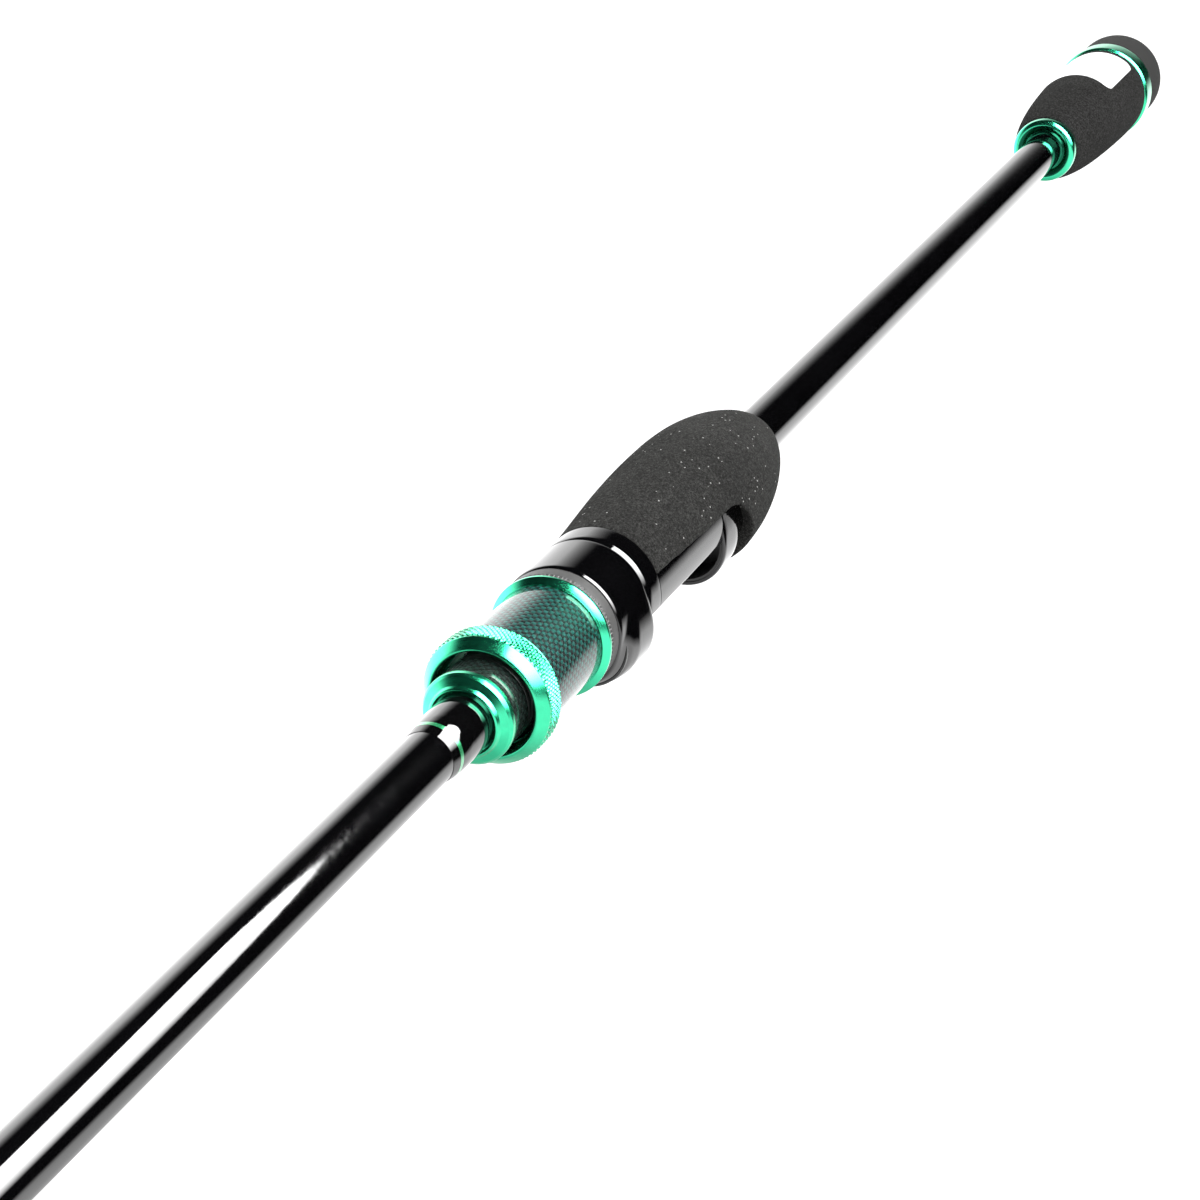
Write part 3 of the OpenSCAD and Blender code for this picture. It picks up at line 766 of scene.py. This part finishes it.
def sliding_hood():
    rings = []

    def outer(x):
        base = np.full_like(PH, float(np.interp(x, [438.75, 451.9], [12.05, 11.93])))
        R = float(np.interp(x, [438.75, 445.5, 448, 450, 451.4, 451.9], [HR, HR - 0.15, HR - 0.65, HR - 1.6, HR - 2.6, HR - 3.1]))
        return np.minimum(smax(off_circle(R, HC), base, 1.6), 14.69)

    def add(x, r):
        rings.append(section(x, r))

    pocket = np.where(np.cos(PH) > 0, off_circle(HR - 1.0, HC), 0)
    pocket = np.where(-pocket * np.cos(PH) < -6.0, pocket, 0)
    inner = np.maximum(pocket, 8.62)
    o = outer(438.8)
    add(438.78, inner + 0.02)
    add(438.76, np.maximum(inner + 0.1, o - 0.42))
    add(438.80, o - 0.16)
    add(438.92, o - 0.04)
    add(439.15, outer(439.15))
    for x in np.linspace(439.8, 451.2, 20):
        add(x, outer(x))
    add(451.6, outer(451.6) - 0.06)
    add(451.8, outer(451.8) - 0.18)
    add(451.88, outer(451.88) - 0.4)
    add(451.88, np.full_like(PH, 8.62))
    add(449.62, np.full_like(PH, 8.62))
    add(449.6, np.minimum(inner, np.maximum(outer(449.6) - 0.45, 8.63)))
    for x in (446, 442):
        add(x, inner)
    v, f = loft(rings, True)
    return mesh_object("sliding_hood_shell", v, f, M_SEAT, sharp=40, body="hood", node="sliding_hood", slot="seat")


sliding_hood()

# grey ring with fine teeth on its front edge
rings = []
segs = 540
th = np.linspace(0, TAU, segs, endpoint=False)
tooth = np.where(np.sin(th * 90) > 0, 1.0, 0.0)
for x, r, t in ((451.92, 9.77, 0), (451.92, 11.4, 0), (452.05, 11.6, 0), (452.3, 11.68, 0), (454.75, 11.68, 0), (454.85, 11.68, 1), (455.35, 11.66, 1), (455.6, 11.5, 1), (455.62, 11.3, 0), (455.62, 9.77, 0)):
    rings.append(ring_of(x, r - 0.12 * t * tooth, segs, th=th))
v, f = loft(rings, True)
mesh_object("thrust_ring_grey", v, f, M_GREY, sharp=35, body="hood", node="thrust_ring", slot="thrust")

# ------------------------------------------------------------------ nut
rev("nut_rear_green", [(455.85, 9.65), (455.85, 11.7, 0.12), (456.0, 11.88, 0.12), (456.55, 11.88, 0.15), (457.46, 10.72, 0.05), (457.46, 9.65)],
    M_GREEN_B, segs=192, body="nut", node="nut_rear_ring", slot="green_anodised")
rev("nut_sleeve_carbon", [(457.5, 9.65), (457.5, 10.45, 0.08), (457.62, 10.54, 0.05), (478.88, 10.54, 0.05), (478.98, 10.45, 0.08), (478.98, 9.65)],
    M_CARBON, segs=192, body="nut", node="nut_sleeve", slot="carbon")


def knurled_ring():
    n_d = 72
    seg = n_d * 8
    th = np.linspace(0, TAU, seg, endpoint=False)
    rings = []

    def flat(x, r):
        rings.append(ring_of(x, r, seg))

    flat(479.02, 10.6)
    flat(479.02, 11.7)
    flat(479.1, 11.95)
    x0, x1 = 479.35, 483.35
    pitch = TAU * 12.2 / n_d
    xs = np.linspace(x0, x1, int(round((x1 - x0) / 0.11)) + 1)
    flat(479.2, 12.05)
    for x in xs:
        u = (th * n_d / TAU + (x - x0) / pitch) % 1.0
        w = (th * n_d / TAU - (x - x0) / pitch) % 1.0
        h = np.minimum(np.abs(u - 0.5), np.abs(w - 0.5)) * 2.0  # 1 at groove-free centres
        h = np.clip(h * 1.7, 0, 1)
        edge = min(1, (x - x0) / 0.25 + 0.15, (x1 - x) / 0.25 + 0.15)
        rings.append(ring_of(x, 11.93 + 0.36 * h * edge, seg, th=th))
    flat(483.5, 12.08)
    flat(483.75, 12.06)
    flat(483.92, 11.93)
    flat(485.2, 10.62)
    flat(485.4, 10.35)
    flat(485.46, 10.1)
    flat(485.36, 9.88)
    flat(485.1, 9.76)
    flat(484.7, 9.72)
    flat(482.0, 9.72)
    flat(481.7, 9.6)
    flat(481.5, 9.1)
    flat(474.0, 9.1)
    flat(474.0, 9.55)
    flat(479.0, 9.55)
    v, f = loft(rings, True)
    return mesh_object("knurled_ring_green", v, f, M_GREEN, sharp=50, body="nut", node="nut_front_ring", slot="green_anodised")


knurled_ring()

# ------------------------------------------------------------------ CAD nodes that stay
mats = {"seat_arbors": M_ARBOR, "fixed_hood_liner": M_LINER, "hood_liner": M_LINER, "retaining_ring": M_STEEL, "nut_core": M_ALU,
        "ferrule_wrap": M_WRAP, "ferrule_trim": M_WRAP_G, "tip_top_wrap": M_WRAP, "tip_top_frame": M_FRAME, "tip_top_ring": M_CERAMIC}
for i in range(1, 8):
    mats[f"guide_{i}_frame"] = M_FRAME
    mats[f"guide_{i}_ring"] = M_CERAMIC
    mats[f"guide_{i}_wraps"] = M_WRAP
for name, mat in mats.items():
    ob = NODES[name]
    ob.data.materials.clear()
    ob.data.materials.append(mat)


# ------------------------------------------------------------------ stage
def stage():
    sc = bpy.context.scene
    sc.view_settings.view_transform = "Standard"
    sc.view_settings.look = "None"
    sc.view_settings.exposure = 0.0
    w = bpy.data.worlds.new("studio")
    sc.world = w
    w.use_nodes = True
    nt = w.node_tree
    nt.nodes.clear()
    out = nt.nodes.new("ShaderNodeOutputWorld")
    tc = nt.nodes.new("ShaderNodeTexCoord")

    sep = nt.nodes.new("ShaderNodeSeparateXYZ")
    L(nt, tc.outputs["Generated"], sep.inputs[0])

    def dot(n):
        d = nt.nodes.new("ShaderNodeVectorMath")
        d.operation = "DOT_PRODUCT"
        L(nt, tc.outputs["Generated"], d.inputs[0])
        d.inputs[1].default_value = n
        return d.outputs["Value"]

    def line(v, x0, y0, x1, y1):
        m = nt.nodes.new("ShaderNodeMapRange")
        m.clamp = True
        L(nt, v, m.inputs["Value"])
        for k, val in zip(("From Min", "From Max", "To Min", "To Max"), (x0, x1, y0, y1)):
            m.inputs[k].default_value = val
        return m.outputs["Result"]

    dx = sep.outputs["X"]
    d1 = math_node(nt, "ADD", dot((-0.255, 0.6075, 0.752)), line(dx, -0.93, -0.10, -0.72, 0.28))
    under = line(d1, -0.07, 1.0, 0.07, 0.0)
    fade = line(sep.outputs["Y"], -0.62, 1.0, -0.05, 0.0)
    fade = math_node(nt, "MULTIPLY", fade, line(dx, -0.84, 0.0, -0.72, 1.4))
    under = math_node(nt, "MULTIPLY", under, math_node(nt, "SUBTRACT", 2.6, fade))
    d2 = math_node(nt, "SUBTRACT", dot((0.387, 0.907, 0.163)), line(dx, -0.88, -0.03, -0.76, 0.04))
    over = math_node(nt, "POWER", line(d2, -0.32, 1.0, 0.0, 0.0), 1.25)
    over = math_node(nt, "MULTIPLY", over, line(dx, -0.88, 2.1, -0.76, 4.4))
    over = math_node(nt, "MULTIPLY", over, line(sep.outputs["Z"], -0.05, 0.0, 0.1, 1.0))
    lum = math_node(nt, "MAXIMUM", under, over)
    bg_g = nt.nodes.new("ShaderNodeBackground")
    L(nt, lum, bg_g.inputs["Strength"])
    bg_d = nt.nodes.new("ShaderNodeBackground")
    bg_d.inputs["Strength"].default_value = 1.35
    bg_c = nt.nodes.new("ShaderNodeBackground")
    bg_c.inputs["Strength"].default_value = 1.6
    lp = nt.nodes.new("ShaderNodeLightPath")
    m1 = nt.nodes.new("ShaderNodeMixShader")
    L(nt, lp.outputs["Is Glossy Ray"], m1.inputs[0])
    L(nt, bg_d.outputs[0], m1.inputs[1])
    L(nt, bg_g.outputs[0], m1.inputs[2])
    m2 = nt.nodes.new("ShaderNodeMixShader")
    L(nt, lp.outputs["Is Camera Ray"], m2.inputs[0])
    L(nt, m1.outputs[0], m2.inputs[1])
    L(nt, bg_c.outputs[0], m2.inputs[2])
    L(nt, m2.outputs[0], out.inputs[0])

    # pale floor well below the guides
    me = bpy.data.meshes.new("floor")
    s = 30
    me.from_pydata([(-s, -s, -0.32), (s, -s, -0.32), (s, s, -0.32), (-s, s, -0.32)], [], [(0, 1, 2, 3)])
    fl = bpy.data.objects.new("floor", me)
    sc.collection.objects.link(fl)
    m, fnt, b = new_mat("floor_pale")
    b.inputs["Base Color"].default_value = (0.86, 0.86, 0.86, 1)
    b.inputs["Roughness"].default_value = 0.9
    b.inputs["Specular IOR Level"].default_value = 0.1
    b.inputs["Emission Color"].default_value = (1, 1, 1, 1)
    b.inputs["Emission Strength"].default_value = 0.35
    me.materials.append(m)
    fl.visible_glossy = False

    # softbox on the camera's side, seen only in reflections
    Y = 0.6
    pts = [(-0.115, Y, -0.48), (1.1, Y, -0.48), (1.1, Y, 0.40), (0.0, Y, 0.375), (-0.20, Y, 0.46), (-0.135, Y, 0.12), (-0.115, Y, -0.05)]
    me = bpy.data.meshes.new("softbox")
    me.from_pydata(pts, [], [tuple(range(7))])
    ob = bpy.data.objects.new("softbox", me)
    sc.collection.objects.link(ob)
    m = bpy.data.materials.new("softbox_light")
    m.use_nodes = True
    snt = m.node_tree
    snt.nodes.clear()
    so = snt.nodes.new("ShaderNodeOutputMaterial")
    em = snt.nodes.new("ShaderNodeEmission")
    _, sx = obj_xyz(snt)
    mr = snt.nodes.new("ShaderNodeMapRange")
    mr.clamp = True
    L(snt, sx["Z"], mr.inputs["Value"])
    for k, val in zip(("From Min", "From Max", "To Min", "To Max"), (-0.47, -0.10, 0.0, 1.0)):
        mr.inputs[k].default_value = val
    L(snt, math_node(snt, "MULTIPLY", math_node(snt, "POWER", mr.outputs["Result"], 1.3), 26.0), em.inputs["Strength"])
    L(snt, em.outputs[0], so.inputs[0])
    me.materials.append(m)
    ob.visible_camera = False
    ob.visible_diffuse = False
    ob.visible_shadow = False
    ob.visible_transmission = False

    key = bpy.data.lights.new("key", "AREA")
    key.shape = "RECTANGLE"
    key.size, key.size_y = 0.9, 0.9
    key.energy = 14
    k = bpy.data.objects.new("key", key)
    k.location = (0.35, 0.75, 0.8)
    k.rotation_mode = "QUATERNION"
    k.rotation_quaternion = (Vector((0.35, 0.75, 0.8)) - Vector((0.35, 0, 0))).to_track_quat("Z", "Y")
    k.visible_glossy = False
    sc.collection.objects.link(k)


stage()
